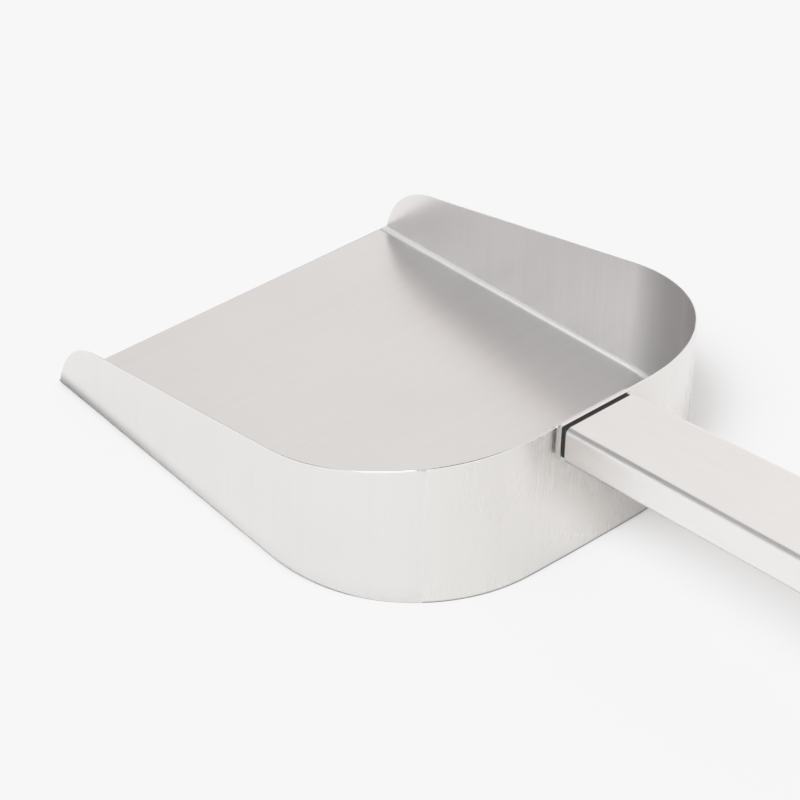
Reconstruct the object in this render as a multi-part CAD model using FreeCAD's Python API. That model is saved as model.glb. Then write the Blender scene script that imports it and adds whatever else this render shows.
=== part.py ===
import FreeCAD, Part

import math
import os

from FreeCAD import Vector

# Sheet-metal scoop: an open D-shaped pan with a flat handle tube bolted behind it.
# Frame: +X towards the open mouth, +Y to the left, +Z up, origin under the middle of
# the whole scoop. Shapes are drawn with x = 0 at the mouth edge and moved when saved.

# Pan (millimetres)
SHEET = 1.2
MOUTH_WIDTH = 230.0
SIDE_LENGTH = 184.6        # mouth edge to where the rear corners begin
SIDE_FLARE = 0.055         # each side moves out by this much per unit of length
CORNER_RADIUS = 88.7
CORNER_END = 88.8          # degrees of turn where the corner meets the gentle back curve
RIM_AT_MOUTH = 31.7        # rim line carried forward to the mouth edge
RIM_SLOPE = 0.189
NOSE_RADIUS = 40.0         # rounded front of each side wall
NOSE_SETBACK = 3.4         # how far that front starts behind the mouth edge
NOSE_START = 4.4           # height at which it starts, above the slanted relief
FOLD_RADIUS = 4.4          # outside of the bend between floor and side wall
EDGE_RADIUS = 0.35         # what is left of that bend behind the corners
FOLD_FADE = 46.0           # degrees of turn over which the bend tightens up
SEAM_TURN = 52.0           # degrees of turn where the back band is welded on

# Handle
HANDLE_TILT = math.degrees(math.atan(0.10))
TUBE_WIDTH = 46.4          # at the pan
TUBE_WIDENING = 0.04       # extra width per unit of length towards the end
TUBE_HEIGHT = 20.3
TUBE_CORNER = 3.2
TUBE_WALL = 1.5
TUBE_LENGTH = 200.0
TUBE_TOP = 84.9            # top of the tube at its front end, level with the rim
JOINT_GAP = 4.5            # from back wall to tube: the flange plate, then the neck's collar
FLANGE_THICKNESS = 1.6
FLANGE_CORNER = 0.8
NECK_INSET = 0.9
PLUG_LENGTH = 36.0
PLUG_FIT = 0.15            # play between a plug and the tube around it

# Fasteners
SCREW_SPACING = 24.0
SCREW_RADIUS = 2.5
SCREW_HEAD_RADIUS = 4.75
SCREW_HEAD_HEIGHT = 2.8
SCREW_LENGTH = 20.0
HEX_ACROSS_FLATS = 3.0
HEX_DEPTH = 1.6
WASHER_RADIUS = 5.5
WASHER_THICKNESS = 1.0
INSERT_RADIUS = 3.5
INSERT_LENGTH = 10.0
PLATE_WIDTH = 52.0
PLATE_HEIGHT = 16.0
PLATE_THICKNESS = 2.0
RIVET_RADIUS = 2.4
RIVET_HEAD_RADIUS = 4.5
RIVET_HEAD_HEIGHT = 1.4
RIVET_FROM_FRONT = 20.0

# Rear end of the handle
CAP_THICKNESS = 3.0
CAP_EDGE = 1.5
CAP_PLUG_LENGTH = 26.0
EYELET_FROM_END = 14.0
EYELET_BORE = 4.0
EYELET_WALL = 0.8
EYELET_FLANGE_RADIUS = 7.0
EYELET_FLANGE_HEIGHT = 0.8
EYELET_FLANGE_ROUND = 0.36

CLEAR = 0.1                # radial play of a screw, rivet or eyelet in its hole
BIG = 400.0                # larger than the scoop, for cutting blocks
UP = Vector(0, 0, 1)
ALONG_Y = Vector(0, 1, 0)

tilt = math.radians(HANDLE_TILT)
corner_end = math.radians(CORNER_END)
side_turn = -math.atan(SIDE_FLARE)


def outward(turn):
    """Outward direction of the left half's wall, turning from the side to the back."""
    return Vector(-math.sin(turn), math.cos(turn), 0)


side_end = Vector(-SIDE_LENGTH, MOUTH_WIDTH / 2 + SIDE_FLARE * SIDE_LENGTH, 0)
corner_centre = side_end - outward(side_turn) * CORNER_RADIUS
back_start = corner_centre + outward(corner_end) * CORNER_RADIUS
back_radius = back_start.y / math.cos(corner_end)
back_centre = back_start - outward(corner_end) * back_radius
PAN_LENGTH = back_radius - back_centre.x

tube_front = Vector(-PAN_LENGTH - JOINT_GAP, 0, TUBE_TOP - TUBE_HEIGHT / 2)
rear_reach = (TUBE_LENGTH + CAP_THICKNESS - CAP_EDGE) * math.cos(tilt)
rear_reach += (TUBE_HEIGHT / 2 - CAP_EDGE) * math.sin(tilt) + CAP_EDGE
OVERALL_LENGTH = -tube_front.x + rear_reach


def mirrored(point):
    return Vector(point.x, -point.y, point.z)


def outline(inset, ahead):
    """Plan outline of the pan, moved in by inset and carried ahead of the mouth."""
    corner = CORNER_RADIUS - inset
    middle = (side_turn + corner_end) / 2
    start = corner_centre + outward(side_turn) * corner
    half = corner_centre + outward(middle) * corner
    end = corner_centre + outward(corner_end) * corner
    back = Vector(back_centre.x - back_radius + inset, 0, 0)
    run = ahead - start.x
    front = start + Vector(run, -SIDE_FLARE * run, 0)
    edges = [
        Part.LineSegment(front, start).toShape(),
        Part.Arc(start, half, end).toShape(),
        Part.Arc(end, back, mirrored(end)).toShape(),
        Part.Arc(mirrored(end), mirrored(half), mirrored(start)).toShape(),
        Part.LineSegment(mirrored(start), mirrored(front)).toShape(),
        Part.LineSegment(mirrored(front), front).toShape(),
    ]
    return Part.Wire(edges)


def prism(wire, base, height):
    solid = Part.Face(wire).extrude(UP * height)
    solid.translate(UP * base)
    return solid


def zone(points):
    """Tall block standing on a polygon of plan points, for parting the pan."""
    return prism(Part.makePolygon(points + points[:1]), -10, 150)


def bottom_edges(solid, base, kind):
    """Edges of one curve kind in the solid's bottom plane."""
    return [edge for edge in solid.Edges
            if edge.BoundBox.ZMax < base + 0.01 and isinstance(edge.Curve, kind)]


def folded_body(inset, ahead, base, side_radius, end_radius):
    """Solid D block whose bottom edge is rounded: full size along the straight sides,
    tightening through the first part of each rear corner, nearly sharp behind."""
    full = prism(outline(inset, ahead), base, 130)
    fade_end = side_turn + math.radians(FOLD_FADE)
    side_reach = corner_centre + outward(side_turn) * BIG
    fade_reach = corner_centre + outward(fade_end) * BIG
    ahead_zone = zone([corner_centre, side_reach, Vector(BIG, BIG, 0), Vector(BIG, -BIG, 0),
                       mirrored(side_reach), mirrored(corner_centre)])
    fade_zone = zone([corner_centre, side_reach, fade_reach])
    other_fade_zone = fade_zone.mirror(Vector(0, 0, 0), ALONG_Y)

    front = full.common(ahead_zone)
    sides = [edge for edge in bottom_edges(front, base, Part.Line)
             if abs(edge.tangentAt(edge.FirstParameter).x) > 0.9]
    front = front.makeFillet(side_radius, sides)
    corner = full.common(fade_zone)
    bend = bottom_edges(corner, base, Part.Circle)
    starts_at_side = bend[0].valueAt(bend[0].FirstParameter).x > bend[0].valueAt(bend[0].LastParameter).x
    radii = (side_radius, end_radius) if starts_at_side else (end_radius, side_radius)
    corner = corner.makeFillet(radii[0], radii[1], bend)
    rear = full.cut([ahead_zone, fade_zone, other_fade_zone])
    rear = rear.makeFillet(end_radius, bottom_edges(rear, base, Part.Circle))
    return front.fuse([corner, corner.mirror(Vector(0, 0, 0), ALONG_Y), rear]).removeSplitter()


def side_profile():
    """Everything below the rim: floor edge, slanted relief and rounded nose at the mouth,
    then the straight rim line, which the nose's arc touches."""
    rise = math.atan(RIM_SLOPE)
    above_rim = Vector(math.sin(rise), 0, math.cos(rise))
    along_rim = Vector(-math.cos(rise), 0, math.sin(rise))
    nose_start = Vector(-NOSE_SETBACK, 0, NOSE_START)
    drop = (RIM_AT_MOUTH + RIM_SLOPE * NOSE_SETBACK - NOSE_START) * math.cos(rise)
    run = math.sqrt(2 * NOSE_RADIUS * drop - drop ** 2)
    touch = nose_start + above_rim * drop + along_rim * run
    centre = touch - above_rim * NOSE_RADIUS
    between = (touch + nose_start) * 0.5 - centre
    nose = centre + between.normalize() * NOSE_RADIUS
    far = -PAN_LENGTH - 20
    corners = [touch, Vector(far, 0, RIM_AT_MOUTH - far * RIM_SLOPE), Vector(far, 0, -5),
               Vector(0, 0, -5), Vector(0, 0, SHEET), nose_start]
    edges = [Part.LineSegment(a, b).toShape() for a, b in zip(corners, corners[1:])]
    edges.append(Part.Arc(nose_start, nose, touch).toShape())
    solid = Part.Face(Part.Wire(edges)).extrude(ALONG_Y * BIG)
    solid.translate(ALONG_Y * (-BIG / 2))
    return solid


def pan_shell():
    """The whole pan, before it is parted into folded sheet and back band."""
    outside = folded_body(0, 10, 0, FOLD_RADIUS, EDGE_RADIUS)
    inside = folded_body(SHEET, 12, SHEET, FOLD_RADIUS - SHEET, EDGE_RADIUS)
    return outside.cut(inside).common(side_profile())


def band_zone():
    """Block around the back wall, from weld seam to weld seam and down to the table."""
    ring = prism(outline(-5, 0), -5, 130).cut(prism(outline(SHEET, 0), -6, 132))
    reach = corner_centre + outward(math.radians(SEAM_TURN)) * 150
    wedge = Part.makePolygon([corner_centre, reach, Vector(-500, reach.y, 0),
                              Vector(-500, -reach.y, 0), mirrored(reach),
                              mirrored(corner_centre), corner_centre])
    return ring.common(prism(wedge, -6, 132))


def round_rect(place, width, height, radius):
    """Upright rounded rectangle in a plane across the handle."""
    y, z = width / 2, height / 2
    bend = radius * (1 - 1 / math.sqrt(2))
    points = []
    for side_y, side_z, flip in ((1, 1, 0), (-1, 1, 1), (-1, -1, 0), (1, -1, 1)):
        upright = (side_y * y, side_z * (z - radius))
        level = (side_y * (y - radius), side_z * z)
        middle = (side_y * (y - bend), side_z * (z - bend))
        corner = (level, middle, upright) if flip else (upright, middle, level)
        points.append([place + Vector(0, a, b) for a, b in corner])
    edges = []
    for index, (start, middle, end) in enumerate(points):
        edges.append(Part.Arc(start, middle, end).toShape())
        edges.append(Part.LineSegment(end, points[(index + 1) % 4][0]).toShape())
    return Part.Wire(edges)


def along_handle(shape):
    """Tilt a shape drawn level behind the tube's front end, so that the rear rises."""
    turned = shape.copy()
    turned.rotate(tube_front, ALONG_Y, HANDLE_TILT)
    return turned


def handle_bar(inset, start, end):
    """Solid bar with the tube's widening section, from start to end behind its front."""
    sections = []
    for distance in (start, end):
        width = TUBE_WIDTH + TUBE_WIDENING * distance - 2 * inset
        place = tube_front - Vector(distance, 0, 0)
        radius = max(TUBE_CORNER - inset, 1.0)
        sections.append(round_rect(place, width, TUBE_HEIGHT - 2 * inset, radius))
    return Part.makeLoft(sections, True, True)


def behind_neck():
    """Half space behind the upright face where neck and tube meet."""
    return Part.makeBox(BIG, BIG, BIG, Vector(tube_front.x - BIG, -BIG / 2, -BIG / 2))


def cross_pin(distance, radius, low, high):
    """Cylinder across the handle, from low to high above its centre line, still level."""
    place = tube_front + Vector(-distance, 0, low)
    return Part.makeCylinder(radius, high - low, place, UP)


def screw_axis(y, x):
    return Vector(x, y, tube_front.z)


def back_hole(y, radius, front, rear):
    """Cylinder along -X at screw height, from x = front back to x = rear."""
    return Part.makeCylinder(radius, front - rear, screw_axis(y, front), Vector(-1, 0, 0))


screw_ys = {"left": SCREW_SPACING / 2, "right": -SCREW_SPACING / 2}
inner_back = -PAN_LENGTH + SHEET
plate_front = inner_back + PLATE_THICKNESS
head_seat = plate_front + WASHER_THICKNESS
screw_tip = head_seat - SCREW_LENGTH
insert_front = tube_front.x - 1.0
eyelet_at = TUBE_LENGTH - EYELET_FROM_END
eyelet_radius = EYELET_BORE + EYELET_WALL


def pan_parts():
    shell = pan_shell()
    band = band_zone()
    back_wall = shell.common(band)
    for y in screw_ys.values():
        back_wall = back_wall.cut(back_hole(y, SCREW_RADIUS + CLEAR, inner_back + 5, tube_front.x))
    return {"pan_sheet": shell.cut(band), "back_band": back_wall}


def backing_plate():
    plate = Part.makeBox(PLATE_THICKNESS + 2, PLATE_WIDTH, PLATE_HEIGHT,
                         Vector(inner_back - 2, -PLATE_WIDTH / 2, tube_front.z - PLATE_HEIGHT / 2))
    upright = [edge for edge in plate.Edges if abs(edge.tangentAt(edge.FirstParameter).x) > 0.9]
    plate = plate.makeFillet(3.0, upright).common(prism(outline(SHEET, 0), 0, 120))
    for y in screw_ys.values():
        plate = plate.cut(back_hole(y, SCREW_RADIUS + CLEAR, plate_front + 1, inner_back - 3))
    return plate


def wall_screw(y):
    """Button-head screw from inside the pan, with a hexagon socket."""
    shank = back_hole(y, SCREW_RADIUS, head_seat, screw_tip)
    head = Part.makeCylinder(SCREW_HEAD_RADIUS, SCREW_HEAD_HEIGHT, screw_axis(y, head_seat), Vector(1, 0, 0))
    front = head_seat + SCREW_HEAD_HEIGHT
    rim = [edge for edge in head.Edges if abs(edge.BoundBox.XMin - front) < 0.01
           and edge.BoundBox.XLength < 0.01]
    head = head.makeFillet(SCREW_HEAD_HEIGHT * 0.7, rim)
    across = HEX_ACROSS_FLATS / 2 / math.cos(math.radians(30))
    corners = [screw_axis(y, front - HEX_DEPTH)
               + Vector(0, math.cos(math.radians(60 * n)), math.sin(math.radians(60 * n))) * across
               for n in range(7)]
    socket = Part.Face(Part.makePolygon(corners)).extrude(Vector(5, 0, 0))
    return shank.fuse(head).removeSplitter().cut(socket)


def washer(y):
    ring = back_hole(y, WASHER_RADIUS, head_seat, plate_front)
    return ring.cut(back_hole(y, SCREW_RADIUS + CLEAR, head_seat + 1, plate_front - 1))


def insert(y):
    """Threaded brass insert, seated in the neck's plug."""
    rear = insert_front - INSERT_LENGTH
    body = back_hole(y, INSERT_RADIUS, insert_front, rear)
    return body.cut(back_hole(y, SCREW_RADIUS + CLEAR / 2, insert_front + 1, rear - 1))


def flange_plate():
    """Steel plate on the outside of the back wall, as large as the tube's front end."""
    wire = round_rect(Vector(-PAN_LENGTH + 2, 0, tube_front.z), TUBE_WIDTH, TUBE_HEIGHT, FLANGE_CORNER)
    plate = Part.Face(wire).extrude(Vector(-FLANGE_THICKNESS - 2, 0, 0))
    plate = plate.cut(prism(outline(0, 0), -5, 130))
    for y in screw_ys.values():
        plate = plate.cut(back_hole(y, SCREW_RADIUS + CLEAR, inner_back, tube_front.x))
    return plate


def handle_neck():
    """Moulded block: a recessed collar against the flange plate and a plug inside the tube."""
    collar_front = -PAN_LENGTH - FLANGE_THICKNESS
    collar_wire = round_rect(Vector(collar_front, 0, tube_front.z), TUBE_WIDTH - 2 * NECK_INSET,
                             TUBE_HEIGHT - 2 * NECK_INSET, TUBE_CORNER - NECK_INSET)
    collar = Part.Face(collar_wire).extrude(Vector(tube_front.x - collar_front, 0, 0))
    plug = along_handle(handle_bar(TUBE_WALL + PLUG_FIT, -4, PLUG_LENGTH)).common(behind_neck())
    pin_hole = along_handle(cross_pin(RIVET_FROM_FRONT, RIVET_RADIUS + CLEAR, -TUBE_HEIGHT, -0.5))
    neck = collar.fuse(plug).cut(pin_hole)
    for y in screw_ys.values():
        neck = neck.cut(back_hole(y, SCREW_RADIUS + CLEAR, inner_back + 5, screw_tip - 2))
        neck = neck.cut(back_hole(y, INSERT_RADIUS, insert_front, insert_front - INSERT_LENGTH))
    return neck


def handle_tube():
    outside = handle_bar(0, -6, TUBE_LENGTH)
    inside = handle_bar(TUBE_WALL, -8, TUBE_LENGTH + 1)
    tube = outside.cut(inside)
    tube = tube.cut(cross_pin(RIVET_FROM_FRONT, RIVET_RADIUS + CLEAR, -TUBE_HEIGHT, 0))
    tube = tube.cut(cross_pin(eyelet_at, eyelet_radius + CLEAR, -TUBE_HEIGHT, TUBE_HEIGHT))
    return along_handle(tube).common(behind_neck())


def neck_rivet():
    """Rivet under the handle that holds tube and neck together."""
    underside = -TUBE_HEIGHT / 2
    head = cross_pin(RIVET_FROM_FRONT, RIVET_HEAD_RADIUS, underside - RIVET_HEAD_HEIGHT, underside)
    low = [edge for edge in head.Edges
           if abs(edge.BoundBox.ZMax - (tube_front.z + underside - RIVET_HEAD_HEIGHT)) < 0.01]
    head = head.makeFillet(RIVET_HEAD_HEIGHT * 0.7, low)
    pin = cross_pin(RIVET_FROM_FRONT, RIVET_RADIUS, underside - 0.1, -0.8)
    return along_handle(head.fuse(pin).removeSplitter())


def end_cap():
    """Moulded stopper in the tube's rear end, with a plug that carries the eyelet."""
    lid = handle_bar(0, TUBE_LENGTH, TUBE_LENGTH + CAP_THICKNESS)
    rear = tube_front.x - TUBE_LENGTH - CAP_THICKNESS
    rim = [edge for edge in lid.Edges if edge.BoundBox.XMax < rear + 0.01]
    lid = lid.makeFillet(CAP_EDGE, rim)
    plug = handle_bar(TUBE_WALL + PLUG_FIT, TUBE_LENGTH - CAP_PLUG_LENGTH, TUBE_LENGTH + 1)
    hole = cross_pin(eyelet_at, eyelet_radius + CLEAR, -TUBE_HEIGHT, TUBE_HEIGHT)
    return along_handle(lid.fuse(plug).cut(hole))


def hang_eyelet():
    """Flanged sleeve right through tube and cap: it holds the cap in and forms the hole."""
    half = TUBE_HEIGHT / 2
    sleeve = cross_pin(eyelet_at, eyelet_radius, -half, half)
    for low in (-half - EYELET_FLANGE_HEIGHT, half):
        flange = cross_pin(eyelet_at, EYELET_FLANGE_RADIUS, low, low + EYELET_FLANGE_HEIGHT)
        sleeve = sleeve.fuse(flange)
    bore = cross_pin(eyelet_at, EYELET_BORE, -TUBE_HEIGHT, TUBE_HEIGHT)
    eyelet = sleeve.removeSplitter().cut(bore)
    ends = [edge for edge in eyelet.Edges if edge.Closed and len(edge.Vertexes) == 1
            and abs(abs(edge.BoundBox.Center.z - tube_front.z) - half - EYELET_FLANGE_HEIGHT) < 0.01]
    return along_handle(eyelet.makeFillet(EYELET_FLANGE_ROUND, ends))


def save(name, shape):
    moved = shape.copy()
    moved.translate(Vector(OVERALL_LENGTH / 2, 0, 0))
    solids = moved.Solids
    print(name, "solids", len(solids), "valid", moved.isValid(), "volume", round(moved.Volume))
    (solids[0] if len(solids) == 1 else moved).exportStep("parts/%s.step" % name)


os.makedirs("parts", exist_ok=True)
pieces = pan_parts()
pieces["backing_plate"] = backing_plate()
for side, y in screw_ys.items():
    pieces["wall_screw_" + side] = wall_screw(y)
    pieces["washer_" + side] = washer(y)
    pieces["thread_insert_" + side] = insert(y)
pieces["flange_plate"] = flange_plate()
pieces["handle_neck"] = handle_neck()
pieces["handle_tube"] = handle_tube()
pieces["neck_rivet"] = neck_rivet()
pieces["end_cap"] = end_cap()
pieces["hang_eyelet"] = hang_eyelet()
for name, shape in pieces.items():
    save(name, shape)


hole_centre = tube_front + Vector(-math.cos(tilt), 0, math.sin(tilt)) * eyelet_at
hole_centre.x += OVERALL_LENGTH / 2
bore_length = TUBE_HEIGHT + 2 * EYELET_FLANGE_HEIGHT - 2 * EYELET_FLANGE_ROUND
print("pan length", round(PAN_LENGTH, 2), "overall length", round(OVERALL_LENGTH, 2))
print("mouth edge at x", round(OVERALL_LENGTH / 2, 3), "back radius", round(back_radius, 1))
print("hanging hole at", round(hole_centre.x, 4), round(hole_centre.z, 4),
      "along", round(math.sin(tilt), 5), round(math.cos(tilt), 5), "length", round(bore_length, 2))
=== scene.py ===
import math

import bmesh
import bpy
from mathutils import Matrix, Vector


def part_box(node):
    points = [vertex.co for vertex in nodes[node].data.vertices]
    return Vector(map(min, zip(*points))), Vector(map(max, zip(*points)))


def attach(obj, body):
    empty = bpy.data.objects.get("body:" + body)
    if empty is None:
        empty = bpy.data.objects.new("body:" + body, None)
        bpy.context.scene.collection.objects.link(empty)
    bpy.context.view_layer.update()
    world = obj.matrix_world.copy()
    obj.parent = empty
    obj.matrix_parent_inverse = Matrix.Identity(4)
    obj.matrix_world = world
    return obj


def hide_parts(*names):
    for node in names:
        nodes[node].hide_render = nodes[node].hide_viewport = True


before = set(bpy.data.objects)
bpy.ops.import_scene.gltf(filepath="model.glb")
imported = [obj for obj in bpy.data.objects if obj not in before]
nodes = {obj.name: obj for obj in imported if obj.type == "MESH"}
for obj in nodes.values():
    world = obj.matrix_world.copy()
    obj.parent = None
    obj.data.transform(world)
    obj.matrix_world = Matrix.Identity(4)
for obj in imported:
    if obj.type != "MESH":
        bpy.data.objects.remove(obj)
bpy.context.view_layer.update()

# --- Studio ---------------------------------------------------------------------------
# The scoop stands on a seamless pale table, seen from behind and above on its left side,
# so that the handle runs out of view. The lens is long, as for a catalogue.
camera_place = Vector((-0.9018, 0.9258, 1.0050))
camera_yaw = -0.7452
camera_pitch = 0.6284
camera_roll = 0.0236

view = Vector((math.cos(camera_pitch) * math.cos(camera_yaw),
               math.cos(camera_pitch) * math.sin(camera_yaw),
               -math.sin(camera_pitch)))
right = view.cross(Vector((0, 0, 1))).normalized()
upward = right.cross(view)
camera_data = bpy.data.cameras.new("camera")
camera_data.lens = 146.97
camera_data.clip_start = 0.05
camera = bpy.data.objects.new("camera", camera_data)
turned = Matrix((right, upward, -view)).transposed() @ Matrix.Rotation(camera_roll, 3, "Z")
camera.matrix_world = Matrix.Translation(camera_place) @ turned.to_4x4()
bpy.context.scene.collection.objects.link(camera)
bpy.context.scene.camera = camera

# The light is a large white tent with a bright panel high on the scoop's left and grey
# flags where the steel looks darker. Bright white rolls off softly instead of clipping.
studio = bpy.data.worlds.new("studio_tent")
bpy.context.scene.world = studio
studio.use_nodes = True
tent = studio.node_tree
tent_light = tent.nodes["Background"]
tent_light.inputs["Color"].default_value = (1, 1, 1, 1)
tent_direction = tent.nodes.new("ShaderNodeTexCoord").outputs["Generated"]


def panel(light, azimuth, elevation, reach, softness, strength):
    """Adds a round panel to the tent's light so far, a number or a socket; returns the sum."""
    across = math.cos(math.radians(elevation))
    aim = (across * math.cos(math.radians(azimuth)), across * math.sin(math.radians(azimuth)),
           math.sin(math.radians(elevation)))
    facing = tent.nodes.new("ShaderNodeVectorMath")
    facing.operation = "DOT_PRODUCT"
    tent.links.new(tent_direction, facing.inputs[0])
    facing.inputs[1].default_value = aim
    edge = tent.nodes.new("ShaderNodeMapRange")
    edge.interpolation_type = "SMOOTHERSTEP"
    edge.inputs["From Min"].default_value = math.cos(math.radians(reach + softness))
    edge.inputs["From Max"].default_value = math.cos(math.radians(reach - softness))
    edge.inputs["To Min"].default_value = 0
    edge.inputs["To Max"].default_value = strength
    tent.links.new(facing.outputs["Value"], edge.inputs["Value"])
    total = tent.nodes.new("ShaderNodeMath")
    total.operation = "ADD"
    tent.links.new(edge.outputs["Result"], total.inputs[0])
    if isinstance(light, float):
        total.inputs[1].default_value = light
    else:
        tent.links.new(light, total.inputs[1])
    return total.outputs["Value"]


# Azimuth, elevation, reach and softness are in degrees; a negative strength is a grey
# flag, which takes light away and which the steel mirrors as a darker field.
glow = 0.85
for azimuth, elevation, reach, softness, strength in (
        (100, 54, 14, 6, 9.2),      # key light, which throws the shadows
        (2, 41, 23, 8, -0.62),      # flag that the far corner mirrors
        (50, 33, 13, 8, -0.53),     # flag that the right wall mirrors
        (29, 24, 9, 4, -0.5),       # lower flag between those two
        (-37, 14, 8, 4, -0.6),      # low flag behind the scoop, facing the camera
        (-43, 35, 11, 8, 0.15),     # light that the floor and the tube's top mirror
        (165, 62, 25, 6, -0.8)):    # high flag over the handle
    glow = panel(glow, azimuth, elevation, reach, softness, strength)
tent.links.new(glow, tent_light.inputs["Strength"])
warmth = tent.nodes.new("ShaderNodeMix")
warmth.data_type = "RGBA"
warmth.inputs["A"].default_value = (0.97, 1, 1.02, 1)
warmth.inputs["B"].default_value = (1.02, 0.99, 0.98, 1)
tent.links.new(panel(0.0, -46, 40, 40, 20, 1.0), warmth.inputs["Factor"])
tent.links.new(warmth.outputs["Result"], tent_light.inputs["Color"])

scene_view = bpy.context.scene.view_settings
scene_view.view_transform = "Standard"
scene_view.use_curve_mapping = True
film = scene_view.curve_mapping
film.use_clip = False
film.extend = "HORIZONTAL"
shoulder = film.curves[3].points
shoulder[0].location = (0, 0)
shoulder[1].location = (0.91, 0.93)
for bright, shown in ((0.14, 0.2), (0.315, 0.45), (0.49, 0.7), (0.665, 0.855)):
    shoulder.new(bright, shown)
film.update()

table_mesh = bpy.data.meshes.new("table")
table_shape = bmesh.new()
bmesh.ops.create_grid(table_shape, x_segments=1, y_segments=1, size=6)
table_shape.to_mesh(table_mesh)
table_shape.free()
table = bpy.data.objects.new("table", table_mesh)
bpy.context.scene.collection.objects.link(table)
table_paint = bpy.data.materials.new("table_white")
table_paint.use_nodes = True
table_surface = table_paint.node_tree.nodes["Principled BSDF"]
table_surface.inputs["Base Color"].default_value = (0.86, 0.84, 0.828, 1)
table_surface.inputs["Roughness"].default_value = 0.6
table_surface.inputs["Specular IOR Level"].default_value = 0.2
table_mesh.materials.append(table_paint)

# --- Folded pan sheet -----------------------------------------------------------------
# Floor, side walls and the first part of the rear corners, folded from one sheet of
# 1.2 mm stainless steel with a satin brushed face. The brush ran across the blank, so
# its lines cross the floor and stand upright on the walls. Cut edges are deburred.
pan_middle = 0.1
mouth_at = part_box("pan_sheet")[1][0]
seam_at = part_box("back_band")[1][0]
seam_width = 0.0015
floor_height = 0.002        # just above the sheet's own thickness
rim_height = 0.008          # the rim is bevelled above this; its low front ends stay as cut
outer_rim_bevel = 0.0007
inner_rim_bevel = 0.00035
lip_rounding = 0.0003


def lowest(item):
    return min(vert.co.z for vert in item.verts)


def is_sharp(edge):
    return len(edge.link_faces) == 2 and edge.calc_face_angle() > math.radians(50)


def is_on_weld(edge):
    """Whether an edge belongs to the weld seams or to the floor's joint with the band."""
    reach = [vert.co.x for vert in edge.verts]
    in_seam = max(reach) < seam_at + 0.0002 and min(reach) > seam_at - seam_width
    behind = max(reach) < seam_at and max(vert.co.z for vert in edge.verts) < 0.003
    return in_seam or behind


def wall_side(edge):
    """How far an upright face beside the edge looks away from the middle of the pan."""
    middle = (edge.verts[0].co + edge.verts[1].co) / 2
    outward = Vector((min(middle.x - pan_middle, 0), middle.y, 0)).normalized()
    return max((face.normal.dot(outward) for face in edge.link_faces), key=abs)


def is_outer_rim(edge):
    return lowest(edge) > rim_height and wall_side(edge) > 0.6


def is_inner_rim(edge):
    return lowest(edge) > rim_height and wall_side(edge) < -0.6


def is_lip(edge):
    return min(vert.co.x for vert in edge.verts) > mouth_at - 0.005 and edge.calc_length() > 0.02


def is_long(edge):
    return edge.calc_length() > 0.0001


def soft_copy(name, rounding=0, rim=()):
    """Merged copy of a CAD node with its edges softened, riding on the root.

    A plain piece has one small rounding. A sheet with a rim has the rim's own steps
    instead: which edges, how wide and in how many segments. Its flat bevels are bright.
    """
    shape = bmesh.new()
    shape.from_mesh(nodes[name].data)
    bmesh.ops.remove_doubles(shape, verts=shape.verts, dist=1e-6)
    if rim:
        wall_verts = [vert for vert in shape.verts if vert.co.z > floor_height]
        wall_edges = [edge for edge in shape.edges if lowest(edge) > floor_height]
        bmesh.ops.dissolve_limit(shape, angle_limit=math.radians(0.1), verts=wall_verts,
                                 edges=wall_edges)
    for chosen, offset, segments in rim or ((is_long, rounding, 2),):
        picked = [edge for edge in shape.edges
                  if is_sharp(edge) and chosen(edge) and not is_on_weld(edge)]
        made = bmesh.ops.bevel(shape, geom=picked, offset=offset, offset_type="OFFSET",
                               segments=segments, profile=0.5, affect="EDGES",
                               clamp_overlap=not rim, material=-1)
        if segments == 1:
            for face in made["faces"]:
                face.material_index = int(lowest(face) > rim_height)
    mesh = bpy.data.meshes.new(name + "_finished")
    shape.to_mesh(mesh)
    shape.free()
    mesh.shade_smooth()
    mesh.set_sharp_from_angle(angle=math.radians(40))
    piece = bpy.data.objects.new(name + "_finished", mesh)
    bpy.context.scene.collection.objects.link(piece)
    evened = piece.modifiers.new("even_normals", "WEIGHTED_NORMAL")
    evened.keep_sharp = True
    evened.weight = 100
    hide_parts(name)
    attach(piece, "root")
    return piece


def socket(group, name, kind, way, value=None):
    made = group.interface.new_socket(name, in_out=way, socket_type=kind)
    if value is not None:
        made.default_value = value


# Brushing is long parallel scratches of several widths. The group turns a point into
# their light and dark streaks, the roughness that follows them and a shallow relief,
# and it darkens faces that look downwards with painted shade.
grain = bpy.data.node_groups.new("brushed_grain_and_underside_shade", "ShaderNodeTree")
socket(grain, "Point", "NodeSocketVector", "INPUT")
socket(grain, "Facing", "NodeSocketVector", "INPUT")
socket(grain, "Stretch", "NodeSocketVector", "INPUT", (1, 1, 1))
socket(grain, "Roughness", "NodeSocketFloat", "INPUT", 0.3)
socket(grain, "Streaks", "NodeSocketFloat", "INPUT", 1.0)
socket(grain, "Metal", "NodeSocketColor", "INPUT", (0.6, 0.6, 0.6, 1))
socket(grain, "Color", "NodeSocketColor", "OUTPUT")
socket(grain, "Roughness", "NodeSocketFloat", "OUTPUT")
socket(grain, "Height", "NodeSocketFloat", "OUTPUT")
made = grain.nodes
join = grain.links
given = made.new("NodeGroupInput")
result = made.new("NodeGroupOutput")
stretched = made.new("ShaderNodeVectorMath")
stretched.operation = "MULTIPLY"
join.new(given.outputs["Point"], stretched.inputs[0])
join.new(given.outputs["Stretch"], stretched.inputs[1])


def streaks(scale, detail):
    noise = made.new("ShaderNodeTexNoise")
    noise.inputs["Scale"].default_value = scale
    noise.inputs["Detail"].default_value = detail
    noise.inputs["Roughness"].default_value = 0.6
    join.new(stretched.outputs["Vector"], noise.inputs["Vector"])
    return noise.outputs["Fac"]


def blend(first, second, operation):
    node = made.new("ShaderNodeMath")
    node.operation = operation
    for place, value in enumerate((first, second)):
        if isinstance(value, (int, float)):
            node.inputs[place].default_value = value
        else:
            join.new(value, node.inputs[place])
    return node.outputs["Value"]


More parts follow.
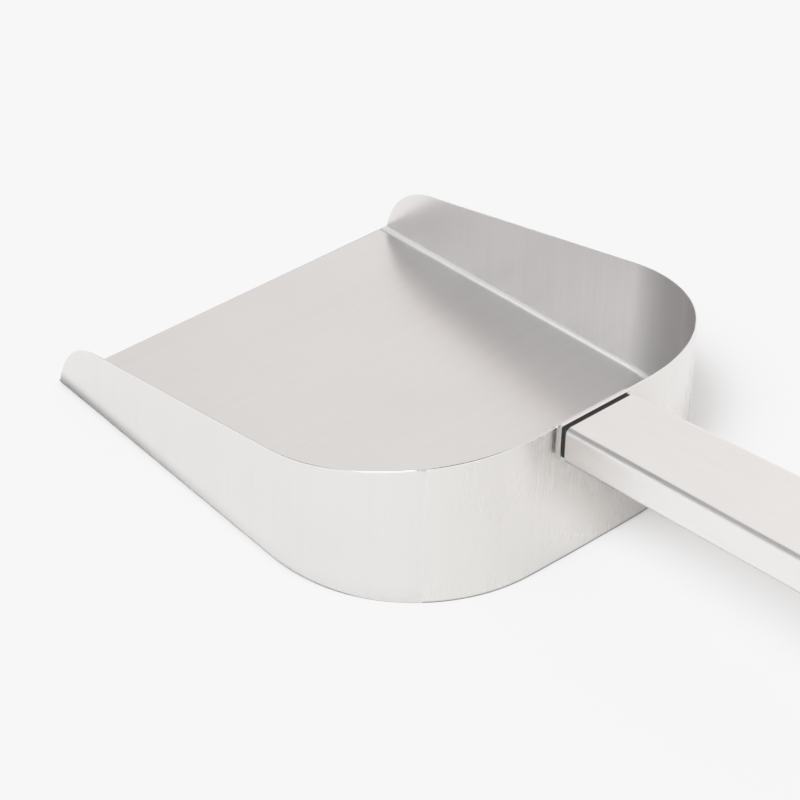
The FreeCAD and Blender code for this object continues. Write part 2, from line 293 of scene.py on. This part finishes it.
def sway(source, amount):
    """A pattern's swing round its middle, times an amount."""
    return blend(blend(source, 0.5, "SUBTRACT"), amount, "MULTIPLY")


broad = streaks(0.16, 2)
middle = streaks(0.9, 3)
fine = streaks(4.5, 2)
clouds = made.new("ShaderNodeTexNoise")
clouds.inputs["Scale"].default_value = 14
clouds.inputs["Detail"].default_value = 4
join.new(given.outputs["Point"], clouds.inputs["Vector"])
mixed = blend(sway(broad, 0.35), sway(middle, 0.45), "ADD")
mixed = blend(mixed, sway(fine, 0.35), "ADD")
mixed = blend(mixed, given.outputs["Streaks"], "MULTIPLY")
handled = sway(clouds.outputs["Fac"], 0.12)
shade = blend(blend(mixed, 0.2, "MULTIPLY"), 1.0, "ADD")
shade = blend(shade, blend(handled, 0.25, "MULTIPLY"), "ADD")
# Painted shade: faces that look downwards, such as the outside of the fold, are given a darker tone.
facing = made.new("ShaderNodeSeparateXYZ")
join.new(given.outputs["Facing"], facing.inputs["Vector"])
underside_shade = made.new("ShaderNodeMapRange")
underside_shade.inputs["From Min"].default_value = -0.65
underside_shade.inputs["From Max"].default_value = -0.03
underside_shade.inputs["To Min"].default_value = 0.42
underside_shade.inputs["To Max"].default_value = 1.0
join.new(facing.outputs["Z"], underside_shade.inputs["Value"])
shade = blend(shade, underside_shade.outputs["Result"], "MULTIPLY")
tinted = made.new("ShaderNodeVectorMath")
tinted.operation = "SCALE"
join.new(given.outputs["Metal"], tinted.inputs[0])
join.new(shade, tinted.inputs["Scale"])
join.new(tinted.outputs["Vector"], result.inputs["Color"])
uneven = blend(blend(mixed, 0.1, "MULTIPLY"), handled, "ADD")
join.new(blend(given.outputs["Roughness"], uneven, "ADD"), result.inputs["Roughness"])
relief = blend(blend(fine, 0.6, "MULTIPLY"), blend(middle, 0.4, "MULTIPLY"), "ADD")
join.new(relief, result.inputs["Height"])


def brushed_steel(name, stretch, tangent, turn, roughness, colour, directional=0.6,
                  amount=1.0, relief=0.000001, satin=0):
    """Metal with the brushed grain: its streaks lie along the axes where stretch is small.

    Where satin is given, it is the roughness of the floor, which fades up the wall's foot.
    """
    material = bpy.data.materials.new(name)
    material.use_nodes = True
    tree = material.node_tree
    surface = tree.nodes["Principled BSDF"]
    surface.inputs["Metallic"].default_value = 1.0
    surface.inputs["Anisotropic"].default_value = directional
    surface.inputs["Anisotropic Rotation"].default_value = turn
    place = tree.nodes.new("ShaderNodeTexCoord")
    lines = tree.nodes.new("ShaderNodeGroup")
    lines.node_tree = grain
    lines.inputs["Stretch"].default_value = stretch
    lines.inputs["Roughness"].default_value = roughness
    lines.inputs["Streaks"].default_value = amount
    lines.inputs["Metal"].default_value = (*colour, 1)
    tree.links.new(place.outputs["Object"], lines.inputs["Point"])
    tree.links.new(place.outputs["Normal"], lines.inputs["Facing"])
    tree.links.new(lines.outputs["Color"], surface.inputs["Base Color"])
    if satin:
        floor_top, fold_end = 0.0013, 0.005
        level = tree.nodes.new("ShaderNodeSeparateXYZ")
        tree.links.new(place.outputs["Object"], level.inputs["Vector"])
        foot_ramp = tree.nodes.new("ShaderNodeMapRange")
        foot_ramp.inputs["From Min"].default_value = floor_top
        foot_ramp.inputs["From Max"].default_value = fold_end
        foot_ramp.inputs["To Min"].default_value = satin
        foot_ramp.inputs["To Max"].default_value = roughness
        tree.links.new(level.outputs["Z"], foot_ramp.inputs["Value"])
        tree.links.new(foot_ramp.outputs["Result"], lines.inputs["Roughness"])
    tree.links.new(lines.outputs["Roughness"], surface.inputs["Roughness"])
    bump = tree.nodes.new("ShaderNodeBump")
    bump.inputs["Strength"].default_value = 1.0
    bump.inputs["Distance"].default_value = relief
    tree.links.new(lines.outputs["Height"], bump.inputs["Height"])
    tree.links.new(bump.outputs["Normal"], surface.inputs["Normal"])
    direction = tree.nodes.new("ShaderNodeCombineXYZ")
    for axis, value in zip("XYZ", tangent):
        direction.inputs[axis].default_value = value
    tree.links.new(direction.outputs["Vector"], surface.inputs["Tangent"])
    return material


# The floor is given a rougher finish than the walls of the same sheet.
steel_colour = (0.622, 0.603, 0.594)
sheet_steel = brushed_steel("sheet_steel", (900, 6, 6), (1, 0, 0), 0, 0.24, steel_colour,
                            directional=0.3, satin=0.41)
sheet_rim = ((is_outer_rim, outer_rim_bevel, 1), (is_inner_rim, inner_rim_bevel, 1),
             (is_lip, lip_rounding, 2))

# The outside of a wall is given a darker foot: painted shade where it stands on the table.
# The group darkens a colour below a given height, by an amount from rear to front.
foot_shade_group = bpy.data.node_groups.new("foot_painted_shade", "ShaderNodeTree")
socket(foot_shade_group, "Point", "NodeSocketVector", "INPUT")
socket(foot_shade_group, "Facing", "NodeSocketVector", "INPUT")
socket(foot_shade_group, "Color", "NodeSocketColor", "INPUT", (0.6, 0.6, 0.6, 1))
socket(foot_shade_group, "Height", "NodeSocketFloat", "INPUT", 0.01)
socket(foot_shade_group, "Rear", "NodeSocketFloat", "INPUT", 1.0)
socket(foot_shade_group, "Front", "NodeSocketFloat", "INPUT", 1.0)
socket(foot_shade_group, "Color", "NodeSocketColor", "OUTPUT")
made = foot_shade_group.nodes
join = foot_shade_group.links
given = made.new("NodeGroupInput")
result = made.new("NodeGroupOutput")


def ramp(value, start, end, first, last):
    """Smooth change from first to last while the value goes from start to end."""
    node = made.new("ShaderNodeMapRange")
    node.interpolation_type = "SMOOTHSTEP"
    names = ("Value", "From Min", "From Max", "To Min", "To Max")
    for name, source in zip(names, (value, start, end, first, last)):
        if isinstance(source, (int, float)):
            node.inputs[name].default_value = source
        else:
            join.new(source, node.inputs[name])
    return node.outputs["Result"]


spot = made.new("ShaderNodeSeparateXYZ")
join.new(given.outputs["Point"], spot.inputs["Vector"])
from_middle = made.new("ShaderNodeVectorMath")
from_middle.operation = "MULTIPLY_ADD"
join.new(given.outputs["Point"], from_middle.inputs[0])
from_middle.inputs[1].default_value = (1, 1, 0)
from_middle.inputs[2].default_value = (-pan_middle, 0, 0)
outward = made.new("ShaderNodeVectorMath")
outward.operation = "DOT_PRODUCT"
join.new(from_middle.outputs["Vector"], outward.inputs[0])
join.new(given.outputs["Facing"], outward.inputs[1])
shade_from, shade_to = 0.03, 0.26     # along the pan, from rear to front
# Painted shade: the outward face of a wall is darkened below the given height.
outside = ramp(outward.outputs["Value"], 0, 0.03, 0, 1)
full_shade_below = blend(given.outputs["Height"], 0.1, "MULTIPLY")
low = ramp(spot.outputs["Z"], full_shade_below, given.outputs["Height"], 1, 0)
along = ramp(spot.outputs["X"], shade_from, shade_to, given.outputs["Rear"], given.outputs["Front"])
foot_ramp = blend(blend(outside, low, "MULTIPLY"), along, "MULTIPLY")
# The painted shade is multiplied into the colour as this dark grey.
foot_shaded = made.new("ShaderNodeMix")
foot_shaded.data_type = "RGBA"
foot_shaded.blend_type = "MULTIPLY"
foot_shaded.inputs["B"].default_value = (0.28, 0.285, 0.28, 1)
join.new(foot_ramp, foot_shaded.inputs["Factor"])
join.new(given.outputs["Color"], foot_shaded.inputs["A"])
join.new(foot_shaded.outputs["Result"], result.inputs["Color"])


def add_foot_shade(material, height, rear, front):
    """Puts the painted foot shade between a brushed material's colour and its surface."""
    tree = material.node_tree
    place = tree.nodes["Texture Coordinate"]
    surface = tree.nodes["Principled BSDF"]
    shade_node = tree.nodes.new("ShaderNodeGroup")
    shade_node.node_tree = foot_shade_group
    shade_node.inputs["Height"].default_value = height
    shade_node.inputs["Rear"].default_value = rear
    shade_node.inputs["Front"].default_value = front
    tree.links.new(place.outputs["Object"], shade_node.inputs["Point"])
    tree.links.new(place.outputs["Normal"], shade_node.inputs["Facing"])
    tree.links.new(surface.inputs["Base Color"].links[0].from_socket, shade_node.inputs["Color"])
    tree.links.new(shade_node.outputs["Color"], surface.inputs["Base Color"])


# Painted shade on the outside of the sheet's foot, strongest at the front tips.
add_foot_shade(sheet_steel, height=0.0125, rear=0.1, front=1)
pan_sheet = soft_copy("pan_sheet", rim=sheet_rim)
pan_sheet.data.materials.append(sheet_steel)
rim_steel = brushed_steel("rim_steel", (30, 30, 30), (0, 0, 1), 0, 0.09, (0.66, 0.65, 0.64),
                          directional=0.0, amount=0.3)
pan_sheet.data.materials.append(rim_steel)

# --- Back band ------------------------------------------------------------------------
# The curved back wall, a strip of the same sheet rolled round the rear corners and
# welded to the folded sheet. The welds are ground flush and brushed over, upright.
band_steel = brushed_steel("band_steel", (6, 900, 6), (0, 1, 0), 0, 0.28, (0.620, 0.601, 0.582),
                           directional=0.3, amount=0.6, relief=0.0000004)
# Painted shade: a thin dark line along the band's foot.
add_foot_shade(band_steel, height=0.0017, rear=0.8, front=0.8)
back_band = soft_copy("back_band", rim=sheet_rim)
back_band.data.materials.append(band_steel)
back_band.data.materials.append(rim_steel)

# --- Backing plate, washers and screws ------------------------------------------------
# A small steel plate inside the back wall spreads the load of two button-head screws,
# each with a washer. They pull the neck of the handle against the wall.
plate_steel = brushed_steel("plate_steel", (14, 14, 900), (0, 1, 0), 0.25, 0.34, (0.56, 0.55, 0.54))
turned_steel = brushed_steel("turned_steel", (400, 400, 400), (0, 1, 0), 0, 0.28, (0.58, 0.57, 0.56),
                             directional=0.2, amount=0.6)
backing_plate = soft_copy("backing_plate", 0.0002)
backing_plate.data.materials.append(plate_steel)
for side in ("left", "right"):
    for part in ("washer_", "wall_screw_"):
        fastener = soft_copy(part + side, 0.00012)
        fastener.data.materials.append(turned_steel)

# --- Flange plate ---------------------------------------------------------------------
# Steel plate between the back wall and the neck, cut to the outline of the tube and
# clamped there by the two wall screws.
flange_steel = brushed_steel("flange_steel", (14, 900, 14), (0, 1, 0), 0, 0.30, steel_colour)
flange_plate = soft_copy("flange_plate", 0.0002)
flange_plate.data.materials.append(flange_steel)

# --- Neck -----------------------------------------------------------------------------
# Block of black glass-filled polymer: a recessed collar that shows as a dark line behind
# the flange plate, and a plug inside the tube. The moulded face has a fine matt grain.
neck_black = bpy.data.materials.new("neck_black")
neck_black.use_nodes = True
neck_tree = neck_black.node_tree
neck_surface = neck_tree.nodes["Principled BSDF"]
neck_place = neck_tree.nodes.new("ShaderNodeTexCoord")
neck_grain = neck_tree.nodes.new("ShaderNodeTexNoise")
neck_grain.inputs["Scale"].default_value = 2600
neck_grain.inputs["Detail"].default_value = 3
neck_tree.links.new(neck_place.outputs["Object"], neck_grain.inputs["Vector"])
neck_tint = neck_tree.nodes.new("ShaderNodeValToRGB")
neck_tint.color_ramp.elements[0].color = (0.006, 0.006, 0.0065, 1)
neck_tint.color_ramp.elements[1].color = (0.014, 0.0138, 0.0135, 1)
neck_tree.links.new(neck_grain.outputs["Fac"], neck_tint.inputs["Fac"])
neck_tree.links.new(neck_tint.outputs["Color"], neck_surface.inputs["Base Color"])
neck_surface.inputs["Roughness"].default_value = 0.55
neck_surface.inputs["Specular IOR Level"].default_value = 0.35
neck_bump = neck_tree.nodes.new("ShaderNodeBump")
neck_bump.inputs["Distance"].default_value = 0.00003
neck_tree.links.new(neck_grain.outputs["Fac"], neck_bump.inputs["Height"])
neck_tree.links.new(neck_bump.outputs["Normal"], neck_surface.inputs["Normal"])
nodes["handle_neck"].material_slots[0].material = neck_black

# --- Threaded inserts -----------------------------------------------------------------
# Two turned and threaded brass inserts, seated in the plug of the neck and hidden
# there, that take the wall screws.
insert_brass = brushed_steel("insert_brass", (500, 500, 500), (0, 1, 0), 0, 0.3, (0.62, 0.45, 0.19),
                             directional=0.2, amount=0.6)
for side in ("left", "right"):
    nodes["thread_insert_" + side].material_slots[0].material = insert_brass

# --- Handle tube ----------------------------------------------------------------------
# Flat rectangular steel tube that widens slightly to the rear, brushed along its length
# and pushed over the plug of the neck.
tube_steel = brushed_steel("tube_steel", (14, 900, 900), (1, 0, 0), 0.25, 0.38, (0.705, 0.685, 0.675),
                           directional=0.4)
handle_tube = soft_copy("handle_tube", 0.00025)
handle_tube.data.materials.append(tube_steel)

# --- Neck rivet -----------------------------------------------------------------------
# Domed steel rivet, set from below, that pins the tube to the plug of the neck. Its
# head is plain and lightly turned.
nodes["neck_rivet"].material_slots[0].material = turned_steel

# --- End cap --------------------------------------------------------------------------
# Stopper of the neck's black polymer, pushed into the rear end of the tube to close it
# and held there by the eyelet.
nodes["end_cap"].material_slots[0].material = neck_black

# --- Hanging eyelet -------------------------------------------------------------------
# Flanged steel sleeve pressed through tube and cap, which keeps the cap in and forms
# the hanging hole.
nodes["hang_eyelet"].material_slots[0].material = turned_steel
